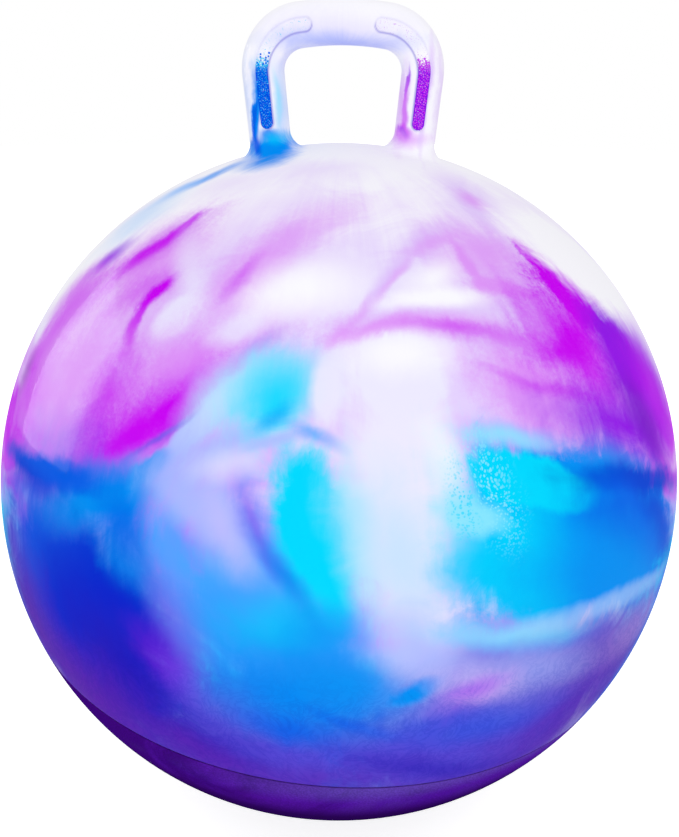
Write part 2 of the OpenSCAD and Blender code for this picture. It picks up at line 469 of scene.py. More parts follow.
LEFT_POOL = (
    cloud("blue", (15, 475), (50, 600), 34),
    splash("azure", (40, 520), (166, 480), 30, 1.0),
    cloud("blue", (8, 486), (90, 478), 12, 0.8),
    splash("azure", (112, 500), (150, 602), 27),
    cloud("blue", (104, 492), (142, 548), 18, 0.6),
    cloud("royal", (56, 556), (100, 680), 38, 1.0),
    splash("royal", (112, 590), (152, 660), 20, 0.8),
    cloud("indigo", (98, 640), (164, 732), 28),
    pool("azure", (130, 488), (172, 452), 11),
    cloud("purple", (10, 555), (62, 695), 13),
    cloud("purple", (52, 668), (140, 735), 13, 1.0),
    splash("sky", (164, 500), (182, 600), 20),
    cloud("periwinkle", (152, 472), (205, 520), 17, 0.7),
    pool("blue", (6, 452), (74, 484), 13, 1.0, 0.5),
    cloud("royal", (10, 452), (44, 490), 10, 0.6),
    cloud("violet", (164, 585), (188, 668), 17, 0.45),
    cloud("violet", (146, 645), (196, 700), 14, 0.45),
    cloud("indigo", (145, 722), (250, 762), 13, 0.6),
    cloud("purple", (150, 730), (250, 772), 10, 0.7),
)

MIDDLE_LEFT = (
    cloud("azure", (200, 625), (345, 650), 36),
    cloud("cyan", (235, 622), (335, 622), 24, 0.6),
    cloud("azure", (220, 690), (400, 705), 34, 0.8),
    cloud("azure", (310, 672), (400, 700), 20),
    cloud("blue", (250, 722), (330, 738), 10, 0.6),
    cloud("periwinkle", (165, 472), (262, 440), 24, 1.0),
    cloud("periwinkle", (186, 478), (244, 560), 24),
    cloud("mist", (200, 470), (262, 462), 13, 0.6),
    cloud("lilac", (210, 498), (240, 566), 13, 0.3),
    cloud("ice", (195, 425), (258, 365), 22),
    pool("aqua", (318, 364), (232, 416), 36, 0.9, 0.7),
    cloud("cyan", (302, 370), (250, 426), 25, 0.9),
    cloud("cyan", (288, 392), (266, 434), 14, 0.8),
    cloud("azure", (258, 432), (286, 412), 8, 0.5),
    pool("mist", (338, 352), (318, 432), 16, 0.9, 0.5),
    pool("cyan", (298, 446), (324, 618), 42, 1.0, 0.3),
    cloud("periwinkle", (252, 450), (306, 436), 5, 0.8),
    cloud("sky", (292, 428), (336, 448), 6, 0.7),
    cloud("aqua", (348, 475), (368, 600), 13, 0.8),
    cloud("azure", (284, 622), (350, 640), 20, 0.7),
    cloud("violet", (238, 482), (258, 546), 12, 0.4),
    cloud("violet", (247, 510), (263, 558), 4, 0.3),
    cloud("blue", (252, 535), (298, 606), 9, 0.65),
    cloud("blue", (330, 715), (395, 735), 5, 0.6),
)

MIDDLE = (
    # Painted highlight: a white cloud in the middle of the ball.
    cloud("white", (432, 425), (458, 500), 16, 0.8),
    cloud("ice", (368, 500), (432, 625), 38, 1.0),
    cloud("periwinkle", (390, 630), (460, 676), 26, 0.8),
    pool("azure", (398, 706), (442, 684), 8, 1.0, 0.5),
)

RIGHT_BLOOM = (
    cloud("pink", (343, 337), (388, 294), 5, 0.8),
    cloud("lilac", (378, 306), (412, 252), 7, 1.0),
    cloud("pink", (392, 292), (420, 248), 4, 0.6),
    cloud("lilac", (404, 260), (450, 228), 13, 1.0),
    cloud("pink", (412, 252), (458, 236), 6, 0.5),
    cloud("lilac", (450, 172), (500, 236), 14, 0.8),
    cloud("pink", (464, 192), (483, 207), 5, 0.7),
    cloud("pink", (448, 238), (536, 286), 24, 0.8),
    pool("white", (396, 304), (490, 302), 13, 1.0, 0.5),
    cloud("white", (418, 292), (458, 272), 14, 0.9),
    splash("pink", (456, 246), (490, 293), 5),
    splash("pink", (478, 289), (542, 303), 7),
    cloud("lilac", (370, 318), (490, 316), 8, 0.7),
    cloud("pink", (344, 338), (420, 322), 7, 1.0),
    cloud("pink", (372, 325), (505, 334), 12, 1.0),
    cloud("orchid", (430, 328), (500, 339), 6, 0.7),
    cloud("orchid", (475, 338), (575, 358), 11, 0.7),
    splash("pink", (486, 376), (596, 412), 36, 0.95),
    cloud("orchid", (486, 374), (548, 391), 4, 0.4),
    cloud("orchid", (530, 387), (596, 396), 7, 0.8),
    pool("mist", (352, 376), (450, 380), 40, 1.0, 0.2),
    # Painted highlight: a white cloud above the middle of the ball.
    cloud("white", (366, 356), (450, 362), 18),
    pool("magenta", (518, 242), (562, 286), 7),
    pool("magenta", (536, 266), (614, 328), 16),
    cloud("magenta", (545, 300), (614, 374), 32, 1.0),
    cloud("orchid", (528, 312), (562, 346), 12, 0.5),
    cloud("magenta", (548, 362), (592, 346), 10),
    pool("violet", (596, 308), (648, 396), 13, 1.0, 0.5),
    cloud("magenta", (585, 340), (630, 420), 14, 0.7),
    cloud("violet", (590, 412), (668, 436), 24, 1.0),
    pool("violet", (626, 326), (668, 446), 15, 0.9, 0.6),
    cloud("magenta", (640, 350), (672, 440), 8, 0.6),
    cloud("purple", (632, 390), (664, 452), 9, 0.5),
    cloud("white", (560, 185), (645, 285), 18, 1.0),
    pool("white", (515, 215), (647, 307), 18, 1.0, 0.3),
    cloud("periwinkle", (475, 430), (560, 440), 8, 0.8),
)

RIGHT_POOL = (
    pool("cyan", (472, 464), (604, 496), 25, 1.0, 0.2),
    splash("royal", (596, 476), (700, 480), 14, 0.8),
    splash("blue", (606, 505), (690, 545), 32, 0.9),
    cloud("royal", (655, 490), (668, 560), 8, 0.6),
    cloud("cyan", (480, 480), (556, 600), 42, 1.0),
    splash("cyan", (456, 562), (560, 604), 36, 1.0),
    cloud("azure", (540, 588), (660, 555), 36, 0.8),
    pool("aqua", (440, 506), (505, 522), 18, 0.9, 0.6),
    cloud("aqua", (470, 434), (545, 442), 7, 0.7),
    pool("sky", (470, 642), (590, 640), 15, 0.7, 0.6),
    cloud("aqua", (460, 642), (580, 634), 10, 0.7),
    pool("ice", (560, 636), (664, 574), 8, 0.4, 0.7),
    cloud("purple", (550, 678), (655, 628), 19, 0.6),
    cloud("periwinkle", (490, 672), (580, 668), 18, 0.5),
    cloud("lilac", (450, 684), (510, 690), 14, 0.5),
    cloud("pink", (440, 710), (505, 684), 9, 0.3),
    cloud("violet", (456, 696), (498, 684), 6, 0.5),
    cloud("lilac", (615, 655), (660, 590), 7, 0.25),
    cloud("blue", (430, 735), (540, 715), 13, 0.5),
    cloud("indigo", (380, 766), (500, 766), 8, 0.6),
)

HANDLE_DYE_AND_SHADE = (
    pool("white", (195, 40), (490, 40), 75, 1.0, 0.5),
    pool("white", (195, 130), (490, 130), 60, 1.0, 0.5),
    # Painted shade: mist and periwinkle along the bar's lower half and on the shoulders' inner sides.
    cloud("mist", (285, 27), (400, 27), 13, 0.9),
    cloud("periwinkle", (285, 41), (400, 41), 9, 0.8),
    cloud("periwinkle", (282, 72), (300, 46), 5, 0.4),
    cloud("periwinkle", (400, 72), (386, 46), 5, 0.4),
    cloud("aqua", (258, 64), (262, 82), 5, 0.6),
    pool("azure", (253, 73), (252, 152), 5, 1.0, 0.35),
    splash("blue", (252, 98), (250, 152), 2.5, 0.9),
    cloud("ice", (279, 72), (284, 142), 6, 0.9),
    cloud("aqua", (275, 78), (280, 124), 3, 0.7),
    pool("azure", (244, 152), (300, 144), 13, 1.0, 0.5),
    splash("azure", (258, 133), (282, 138), 6, 0.9),
    splash("blue", (252, 136), (262, 154), 5, 0.9),
    cloud("cyan", (268, 140), (290, 138), 5, 0.6),
    splash("violet", (413, 71), (409, 102), 1.6, 1.0),
    splash("orchid", (411, 92), (405, 138), 3, 0.9),
    cloud("pink", (408, 78), (402, 140), 5, 0.7),
    splash("orchid", (400, 138), (414, 135), 6, 0.9),
    splash("violet", (403, 134), (412, 139), 2.5, 0.8),
    cloud("pink", (390, 143), (428, 141), 6, 0.7),
    # Painted shade: lilac lines down the right leg's outer side.
    cloud("lilac", (434, 50), (424, 143), 2.5, 0.9),
    cloud("lilac", (441, 50), (438, 140), 3, 0.6),
)

# Small clear dots where the right pool thins out
SPECKS = (
    cloud("aqua", (478, 446), (512, 535), 20),
    cloud("cyan", (452, 470), (472, 535), 12, 0.8),
)

BALL_SPLASHES = GROUND + LEFT_CROWN + LEFT_BLOOM + LEFT_POOL + MIDDLE_LEFT + MIDDLE + RIGHT_BLOOM + RIGHT_POOL

# Dyes that show their grain where they are thin
GRAINY_DYES = ("pink", "orchid", "magenta")

# The unseen sides: dyes from the bottom of the ball to its top, each with its height as a share of the radius
DYE_LADDER = (
    ("plum", -0.95),
    ("plum", -0.62),
    ("purple", -0.50),
    ("royal", -0.36),
    ("azure", -0.18),
    ("cyan", -0.04),
    ("periwinkle", 0.08),
    ("orchid", 0.20),
    ("magenta", 0.36),
    ("lilac", 0.58),
    ("white", 0.80),
)

# How far a splash reaches into the object, and how far it drags the splashes that come after it
BALL_SPLASH_DEPTH = 0.14
HANDLE_SPLASH_DEPTH = 0.035
SPLASH_DRAG = 0.001

# Noises of the dye: scale, detail, roughness and distortion, or the scale alone
RAG_NOISE = (24.0, 7.0, 0.66, 2.2)
STREAK_NOISE = (11.0, 5.0, 0.65, 0.3)
DYE_GRAIN_NOISE = (380.0, 2.0, 0.8)
STIR_NOISE = (5.0, 4.0, 0.55, 1.2)
PALE_NOISE = (7.5, 3.0, 0.5, 1.6)
VEIN_NOISE = (55.0, 6.0, 0.7, 3.0)
SWIRL_SCALE = 9.0
WISP_SCALE = 42.0
CURL_SCALE = 140.0
SPECK_SCALE = 600.0

# Steps of the dye: where each starts and ends, and its values there if they aren't 0 and 1
STIR_STEP = (-0.8, -0.1, 0.3, 1.5)
PALE_STEP = (0.52, 0.66, 0.0, 0.8)
VEIN_RISE = (0.43, 0.5)
VEIN_FALL = (0.5, 0.57, 1.0, 0.0)
VEIN_LEVEL = (-0.1, 0.1, 0.3, 0.0)
SPECK_STEP = (0.2, 0.5, 1.0, 0.0)

# The streaks run up and down, the pale clouds lie between two shares of the middle's height, and the veins
# darken the dye by their tint
STREAK_STRETCH = (0, 0, 1.2)
PALE_LOW = 0.3
PALE_HIGH = 0.9
VEIN_TINT = (0.2, 0.4, 0.8, 1.0)


def splash_frame(one, locate):
    """The middle, the turn, half the length and half the width of a splash on the object."""
    start = locate(one.start)
    end = locate(one.end)
    middle_pixel = ((one.start[0] + one.end[0]) / 2, (one.start[1] + one.end[1]) / 2)
    middle = locate(middle_pixel)
    run = Vector((one.end[0] - one.start[0], one.end[1] - one.start[1])).normalized()
    beside = locate((middle_pixel[0] - run.y * one.breadth, middle_pixel[1] + run.x * one.breadth))
    beside_back = locate((middle_pixel[0] + run.y * one.breadth, middle_pixel[1] - run.x * one.breadth))
    along = (end - start).normalized()
    across = beside - beside_back
    across -= along * across.dot(along)
    half_width = across.length / 2
    across.normalize()
    outward = along.cross(across)
    turn = Matrix((along, across, outward)).transposed().to_euler("XYZ")
    return middle, turn, (end - start).length / 2, half_width


def object_place(bench):
    """The place on the object, in metres."""
    return bench.node("ShaderNodeTexCoord", output="Object")


def lay_splash(place, fray, under, one, locate, depth, dots=None):
    """Lays one splash over the colours under it, and drags the place of the next ones along with it."""
    middle, turn, half_length, half_width = splash_frame(one, locate)
    drag = turn.to_matrix() @ Vector((SPLASH_DRAG, 0.0, 0.0))
    inside = place.node(
        "ShaderNodeMapping",
        {"vector_type": "TEXTURE"},
        {"Vector": place, "Location": middle, "Rotation": turn, "Scale": (half_length, half_width, depth)},
    )
    distance = fray + inside.size()
    cover = distance.ease(1 - one.softness, 1 + one.softness, one.strength, 0.0)
    dragged = cover.vector("MULTIPLY_ADD", drag, place)
    if dots:
        cover = cover * dots
    return cover.over(under, dye_colour(one.dye)), dragged


def drifting_place(place):
    """The place, pushed about by large, small and smallest swirls."""
    values = finish_values()
    drift = place
    for scale, reach in ((SWIRL_SCALE, values.swirl), (WISP_SCALE, values.wisp), (CURL_SCALE, values.curl)):
        push = place.noise(scale, output=1).vector("SUBTRACT", (0.5, 0.5, 0.5))
        drift = push.vector("MULTIPLY_ADD", (2 * reach, 2 * reach, 2 * reach), drift)
    return drift


def frayed_edges(place, drift):
    """How far the edges of the dye stray: as rags, as rags with grain, and the grain alone."""
    values = finish_values()
    around = place.vector("SUBTRACT", ball_centre()).vector("MULTIPLY", (1, 1, 0)).vector("NORMALIZE")
    streaked = drift.vector("MULTIPLY_ADD", STREAK_STRETCH, around).noise(*STREAK_NOISE)
    ragged = drift.noise(*RAG_NOISE) + streaked - 1
    grain = place.noise(*DYE_GRAIN_NOISE) - 0.5
    ragged = ragged * (values.fray / 2)
    return ragged, grain * values.grain + ragged, grain


def unseen_sides(place):
    """The dyes all round the ball, pale clouds over them, and the level on the ball from -1 to 1."""
    centre = ball_centre()
    stirred = place.noise(*STIR_NOISE) - 0.5
    height = place.part("Z")
    level = (height - centre.z) * (1 / ball().radius)
    rung = level + stirred * level.ease(*STIR_STEP)
    ladder = [((at + 1) / 2, dye_colour(name)) for name, at in DYE_LADDER]
    colour = place.node("ShaderNodeValToRGB", {"stops": ladder}, {0: rung * 0.5 + 0.5})
    pale = place.noise(*PALE_NOISE).ease(*PALE_STEP)
    above_base = height.ease(centre.z * PALE_LOW, centre.z * PALE_HIGH)
    return (pale * above_base).over(colour, dye_colour("mist")), level


def veined(colour, drift, level):
    """Thin dark veins over the dye on the lower half of the ball."""
    curled = drift.noise(*VEIN_NOISE)
    veins = curled.ease(*VEIN_RISE) * curled.ease(*VEIN_FALL) * level.ease(*VEIN_LEVEL)
    settings = {"data_type": "RGBA", "blend_type": "MULTIPLY"}
    return drift.node("ShaderNodeMix", settings, {0: veins, 6: colour, 7: VEIN_TINT}, 2)


def marbled_group():
    """The marbled dye, with its splashes of painted shade and highlight, as one node group, shared by every
    vinyl surface.
    """
    tree = bpy.data.node_groups.new("marbled dye", "ShaderNodeTree")
    tree.interface.new_socket("Colour", in_out="OUTPUT", socket_type="NodeSocketColor")
    bench = Wire(tree)
    place = object_place(bench)
    drift = drifting_place(place)
    ragged, grainy, grain = frayed_edges(place, drift)
    colour, level = unseen_sides(place)
    for one in BALL_SPLASHES:
        fray = grainy if one.dye in GRAINY_DYES else ragged
        colour, drift = lay_splash(drift, fray, colour, one, ball_point, BALL_SPLASH_DEPTH)
    colour = veined(colour, drift, level)
    cells = place.node("ShaderNodeTexVoronoi", {"feature": "F1"}, {"Vector": drift, "Scale": SPECK_SCALE})
    dots = (grain + cells).ease(*SPECK_STEP)
    for one in SPECKS:
        colour, drift = lay_splash(drift, ragged, colour, one, ball_point, BALL_SPLASH_DEPTH, dots)
    for one in HANDLE_DYE_AND_SHADE:
        colour, drift = lay_splash(drift, ragged, colour, one, handle_point, HANDLE_SPLASH_DEPTH)
    bench.node("NodeGroupOutput", values={0: colour})
    return tree


def shader(name):
    """A new material, its bench and its surface shader."""
    material = bpy.data.materials.new(name)
    material.use_nodes = True
    return material, Wire(material.node_tree), material.node_tree.nodes["Principled BSDF"]


def connect(bench, surface, values):
    """Fills or links the sockets of a surface shader, whose shine is its coat."""
    shine = {"Specular IOR Level": 0.0, "Coat Roughness": finish_values().gloss_roughness}
    for key, value in {**shine, **values}.items():
        if isinstance(value, Wire):
            bench.tree.links.new(value.socket, surface.inputs[key])
        else:
            surface.inputs[key].default_value = value


def marble(bench):
    """The marbled dye's colour, with its painted shade and highlights."""
    return bench.node("ShaderNodeGroup", {"node_tree": bpy.data.node_groups["marbled dye"]})


def painted_mark(bench, name):
    """How strong one of the handle's marks is: strip, inside a sunk strip, or edge, the painted shade along
    its outline.
    """
    return bench.node("ShaderNodeAttribute", {"attribute_name": name}, output="Fac")


def bumpy(bench, height, strength, distance):
    """A normal from a height that changes over the surface."""
    return bench.node("ShaderNodeBump", values={"Strength": strength, "Distance": distance, "Height": height})


RING_DARKNESS = 0.8


def ring_shade(place):
    """Painted shade: the dark line in the groove of the parting ring."""
    sizes = ball()
    pole = (math.sin(sizes.ring_lean), 0.0, math.cos(sizes.ring_lean))
    away = place.vector("SUBTRACT", ball_centre())
    along = place.node("ShaderNodeVectorMath", {"operation": "DOT_PRODUCT"}, {0: away, 1: pole}, 1)
    above = along + sizes.radius * math.sin(sizes.ring_angle)
    return above.ease(-sizes.groove_width, 0.0) * above.ease(0.0, sizes.groove_width, RING_DARKNESS, 0.0)


SMEAR_SCALE = 30.0
SMEAR_STEP = (0.3, 0.7)
SMEAR_SPREAD = 0.1


def gloss_skin():
    """Glossy marbled vinyl, with painted shade in the groove of the parting ring."""
    material, bench, surface = shader("gloss_skin")
    values = finish_values()
    place = object_place(bench)
    connect(bench, surface, {
        "Base Color": ring_shade(place).over(marble(bench), dye_colour("shade_aubergine")),
        "Coat Weight": place.noise(SMEAR_SCALE).ease(
            *SMEAR_STEP, values.gloss * (1 - SMEAR_SPREAD), values.gloss * (1 + SMEAR_SPREAD)
        ),
    })
    return material


PEBBLE_SMOOTHNESS = 0.35
PEBBLE_RANDOMNESS = 0.9


def pebbles(place):
    """Height of the moulded stipple, from 0 to 1."""
    cells = place.node("ShaderNodeTexVoronoi", {"feature": "SMOOTH_F1"}, {
        "Vector": place,
        "Scale": 1 / finish_values().stipple_size,
        "Smoothness": PEBBLE_SMOOTHNESS,
        "Randomness": PEBBLE_RANDOMNESS,
    })
    return 1 - cells


# The base: its clouds, a painted sheen towards the right, painted shade on its underside and painted shade in
# the pits between its pebbles
BASE_CLOUD_NOISE = (14.0, 4.0, 0.6, 1.5)
BASE_CLOUD_STEP = (0.25, 0.55)
BASE_DRIFT = 2.2
BASE_COVER = 0.94
PAINTED_SHEEN_HEIGHT = (0.122, 0.142)
PAINTED_SHEEN_SIDE = (-0.09, 0.03, 0.0, 0.11)
UNDERSIDE_SHADE_HEIGHT = (0.092, 0.130)
PIT_SHADE_STEP = (0.35, 0.8, 0.3, 0.0)
PEBBLE_STEP = (0.3, 0.9)
PIT_ROUGHNESS = 1.3
BASE_BUMP = 0.8


def stippled_skin():
    """Matte stippled vinyl of the base, with a painted sheen and painted shade."""
    material, bench, surface = shader("stippled_skin")
    values = finish_values()
    place = object_place(bench)
    grain = pebbles(place)
    across = place.part("X")
    height = place.part("Z")
    cloudy = place.noise(*BASE_CLOUD_NOISE) + across * BASE_DRIFT
    tint = cloudy.ease(*BASE_CLOUD_STEP).over(dye_colour("plum"), dye_colour("purple"))
    tint = bench.node("ShaderNodeMix", {"data_type": "RGBA"}, {0: BASE_COVER, 6: marble(bench), 7: tint}, 2)
    # Painted sheen: paler periwinkle just under the seam and towards the right, in place of the front light's
    # reflection.
    sheen = height.ease(*PAINTED_SHEEN_HEIGHT) * across.ease(*PAINTED_SHEEN_SIDE)
    tint = sheen.over(tint, dye_colour("periwinkle"))
    # Painted shade: darker towards the bottom of the base, where the floor shades it.
    tint = height.ease(*UNDERSIDE_SHADE_HEIGHT).over(dye_colour("shade_aubergine"), tint)
    # Painted shade in the pits between the pebbles and in the groove of the parting ring.
    dark = grain.ease(*PIT_SHADE_STEP).most(ring_shade(place))
    rough = values.stipple_roughness
    connect(bench, surface, {
        "Base Color": dark.over(tint, dye_colour("shade_aubergine")),
        "Roughness": grain.ease(*PEBBLE_STEP, rough * PIT_ROUGHNESS, rough),
        "Normal": bumpy(bench, grain, BASE_BUMP, values.stipple_height),
    })
    return material


# The strips: the pixels of the photograph where their ink has faded out and where it is full, and their ink.
# The fade towards the top is partly painted highlight, for the over-lit top of the legs.
STRIP_TOP_PIXEL = (266, 47)
STRIP_FULL_PIXEL = (268, 76)
SPECKLE_NOISE = (1500.0, 2.0, 0.7)
SPECKLE_REACH = 3
SPECKLE_STEP = (0.4, 0.6)
INK_INSIDE = (0.35, 0.75)
INK_DEPTH = (0.5, 1.0)
EDGE_SHADE = 0.6
STRIP_BUMP = 0.5


def strip_heights():
    """The heights at which the grain of a strip is full and at which it has faded out."""
    return handle_point(STRIP_FULL_PIXEL).z, handle_point(STRIP_TOP_PIXEL).z


def left_or_right(place, left, right):
    """One dye at the left of the ball and another at the right."""
    across = place.part("X")
    return across.ease(-MILLIMETRE, MILLIMETRE).over(dye_colour(left), dye_colour(right))


def handle_skin():
    """Glossy vinyl of the handle, finely stippled and dyed in the sunk strips, with painted shade along the
    strips' inner edges; the ink's fade towards the top is partly painted highlight.
    """
    material, bench, surface = shader("handle_skin")
    values = finish_values()
    place = object_place(bench)
    strip = painted_mark(bench, "strip")
    height = place.part("Z")
    full, none = strip_heights()
    # The ink fades out and turns paler towards the top of the strips: partly painted highlight for the
    # over-lit top of the legs.
    faded = height.ease(full, none, 1.0, 0.0)
    speckle = (place.noise(*SPECKLE_NOISE) - 0.5) * SPECKLE_REACH
    inked = (speckle + faded).ease(*SPECKLE_STEP) * strip.ease(*INK_INSIDE)
    edge = painted_mark(bench, "edge")
    ink = faded.ease(*INK_DEPTH).over(
        left_or_right(place, "cyan", "orchid"), left_or_right(place, "blue", "violet")
    )
    # Painted shade along the strip's inner edge: grey blue where the strip is bare, dark where it is inked.
    line = inked.over(dye_colour("iris"), left_or_right(place, "indigo", "purple"))
    bump = bumpy(bench, pebbles(place) * inked, STRIP_BUMP, values.stipple_height)
    connect(bench, surface, {
        "Base Color": (edge * EDGE_SHADE).over(inked.over(marble(bench), ink), line),
        "Coat Weight": strip.ease(0.0, 1.0, values.gloss, 0.0),
        "Normal": bump,
    })
    return material


WORN_NOISE = (900.0, 1.0)
WORN_STEP = (0.4, 0.6)
# Pale tips on some grains: painted glints.
GLINT_NOISE = (1700.0, 1.0)
GLINT_STEP = (0.58, 0.66, 0.0, 0.8)


def grain_skin():
    """The raised grains in the grip strips, with pale tips on some of them as painted glints."""
    material, bench, surface = shader("grain_skin")
    place = object_place(bench)
    worn = place.noise(*WORN_NOISE).ease(*WORN_STEP)
    painted_glint = place.noise(*GLINT_NOISE).ease(*GLINT_STEP)
    colour = worn.over(left_or_right(place, "blue", "magenta"), left_or_right(place, "azure", "orchid"))
    connect(bench, surface, {
        "Base Color": painted_glint.over(colour, left_or_right(place, "aqua", "pink")),
        "Roughness": finish_values().stipple_roughness,
    })
    return material


SEAT_PALE_NOISE = (120.0, 3.0)
SEAT_PALE_STEP = (0.35, 0.75, 0.1, 0.45)
SEAT_GLOSS_SCALE = 300.0
SEAT_GLOSS_LOW = 0.6


def valve_vinyl():
    """The bonded valve seat: the same marbled vinyl, paler and with a finer sheen."""
    material, bench, surface = shader("valve_vinyl")
    values = finish_values()
    place = object_place(bench)
    pale = place.noise(*SEAT_PALE_NOISE).ease(*SEAT_PALE_STEP)
    connect(bench, surface, {
        "Base Color": pale.over(marble(bench), dye_colour("mist")),
        "Coat Weight": place.noise(SEAT_GLOSS_SCALE).ease(
            *SMEAR_STEP, values.gloss * SEAT_GLOSS_LOW, values.gloss
        ),
    })
    return material


PLUG_TINT_NOISE = (160.0, 3.0)
PLUG_TINT_STEP = (0.3, 0.75, 0.0, 0.6)
PLUG_SATIN_SCALE = 1600.0
PLUG_SATIN_STEP = (0.3, 0.7, 0.28, 0.4)
PLUG_BUMP = 0.15
PLUG_BUMP_HEIGHT = 0.0001


def plug_plastic():
    """White moulded plug."""
    material, bench, surface = shader("plug_plastic")
    place = object_place(bench)
    tint = place.noise(*PLUG_TINT_NOISE).ease(*PLUG_TINT_STEP)
    satin = place.noise(PLUG_SATIN_SCALE)
    connect(bench, surface, {
        "Base Color": tint.over(dye_colour("white"), dye_colour("mist")),
        "Roughness": satin.ease(*PLUG_SATIN_STEP),
        "Normal": bumpy(bench, satin, PLUG_BUMP, PLUG_BUMP_HEIGHT),
    })
    return material


# Meshes


def add_object(name, data):
    """A new object in the scene, from a mesh, a lamp or a camera."""
    made = bpy.data.objects.new(name, data)
    bpy.context.scene.collection.objects.link(made)
    return made


def plain_mesh(piece, name):
    """Turns a piece's evaluated shape into a plain mesh and drops its modifiers."""
    graph = bpy.context.evaluated_depsgraph_get()
    mesh = bpy.data.meshes.new_from_object(piece.evaluated_get(graph))
    mesh.name = name
    piece.modifiers.clear()
    piece.data = mesh


def sharpen(edit, limit):
    """Smooths all faces and keeps the edges that bend more than the limit sharp."""
    for face in edit.faces:
        face.smooth = True
    for edge in edit.edges:
        edge.smooth = len(edge.link_faces) == 2 and edge.calc_face_angle(0.0) < limit


def geometry_bench(name, inputs, output):
    """The bench of a new geometry node group with named inputs and one output, and a wire for each input."""
    tree = bpy.data.node_groups.new(name, "GeometryNodeTree")
    for label, kind in inputs.items():
        tree.interface.new_socket(label, in_out="INPUT", socket_type="NodeSocket" + kind)
    tree.interface.new_socket(output, in_out="OUTPUT", socket_type="NodeSocketGeometry")
    given = tree.nodes.new("NodeGroupInput")
    return Wire(tree), [Wire(tree, given.outputs[label]) for label in inputs]


SHARP_EDGE = math.radians(38)
HUB_RADIUS = 0.01
WELD = 0.00001


def spun_tree():
    """Spins a profile, drawn in the XY plane as distance from the axis and depth, about a leaning axis."""
    bench, wires = geometry_bench("spun skin", {
        "Profile": "Geometry",
        "Segments": "Int",
        "Hub": "Float",
        "Lean": "Float",
        "Centre": "Vector",
        "Finish": "Material",
    }, "Skin")
    profile, segments, hub, lean, centre, finish = wires
    path = bench.node(
        "GeometryNodeCurvePrimitiveCircle", {"mode": "RADIUS"}, {"Resolution": segments, "Radius": hub}
    )
    path = bench.node("GeometryNodeSetCurveNormal", {"mode": "Z_UP"}, {"Curve": path})
    outline = bench.node("GeometryNodeMeshToCurve", values={"Mesh": profile})
    spun = bench.node("GeometryNodeCurveToMesh", values={"Curve": path, "Profile Curve": outline})
    turn = bench.node("ShaderNodeCombineXYZ", values={"Y": lean})
    placed = bench.node(
        "GeometryNodeTransform", values={"Geometry": spun, "Translation": centre, "Rotation": turn}
    )
    merged = bench.node("GeometryNodeMergeByDistance", values={"Geometry": placed, "Distance": WELD})
    smooth = bench.node("GeometryNodeSetShadeSmooth", values={"Geometry": merged})
    real = bench.node("GeometryNodeRealizeInstances", values={"Geometry": smooth})
    finished = bench.node("GeometryNodeSetMaterial", values={"Geometry": real, "Material": finish})
    bench.node("NodeGroupOutput", values={0: finished})
    return bench.tree


def set_inputs(modifier, values):
    """Sets a node modifier's inputs, found by name, through their identifiers."""
    for item in modifier.node_group.interface.items_tree:
        if item.in_out == "INPUT" and item.name in values:
            modifier[item.identifier] = values[item.name]


def spin(name, profile, material):
    """A skin spun from a profile of (distance from the ball's middle, angle from the ring's own pole)."""
    points = [
        (radius * math.sin(turn) - HUB_RADIUS, -radius * math.cos(turn), 0.0)
        for radius, turn in profile
    ]
    chain = bpy.data.meshes.new(name + "_profile")
    chain.from_pydata(points, [(at, at + 1) for at in range(len(points) - 1)], [])
    piece = add_object(name, chain)
    modifier = piece.modifiers.new("spin", "NODES")
    modifier.node_group = bpy.data.node_groups.get("spun skin") or spun_tree()
    set_inputs(modifier, {
        "Segments": ball().segments,
        "Hub": HUB_RADIUS,
        "Lean": ball().ring_lean,
        "Centre": tuple(ball_centre()),
        "Finish": material,
    })
    plain_mesh(piece, name)
    return piece


def arc(radius, first, last, steps):
    """Points on an arc about the ball's middle."""
    return [(radius, first + (last - first) * at / steps) for at in range(steps + 1)]


LIP_STEPS = 4
INNER_ROW_SHARE = 0.4
BASE_CLEARANCE = 0.02 * MILLIMETRE
BASE_LAP_SHARE = 0.9


def ring_turns():
    """Angles from the ring's pole of the groove's upper and lower lips."""
    sizes = ball()
    ring = math.pi / 2 + sizes.ring_angle
    half_groove = sizes.groove_width / 2 / sizes.radius
    return ring - half_groove, ring + half_groove


def lip(turn, side):
    """The rounded lip of a skin at the groove: side is 1 where the skin lies above it, -1 below."""
    sizes = ball()
    round_turn = sizes.lip_radius / sizes.radius
    points = []
    for step in range(1, LIP_STEPS + 1):
        bend = math.pi / 2 * step / LIP_STEPS
        points.append((
            sizes.radius - sizes.lip_radius * (1 - math.cos(bend)),
            turn - side * round_turn * (1 - math.sin(bend)),
        ))
    return points


def upper_profile():
    """The upper skin's outline: outside, lip, the lap over the base, and back along the inside."""
    sizes = ball()
    edge, _ = ring_turns()
    round_turn = sizes.lip_radius / sizes.radius
    rows = round(sizes.rows * edge / math.pi)
    floor = sizes.radius - sizes.groove_depth
    lap_turn = edge - sizes.lap / sizes.radius
    inner = sizes.radius - sizes.skin
    points = arc(sizes.radius, 0.0, edge - round_turn, rows)
    points += lip(edge, 1)
    points += [(floor, edge), (floor, lap_turn)]
    points += arc(inner, lap_turn, 0.0, round(rows * INNER_ROW_SHARE))
    return points


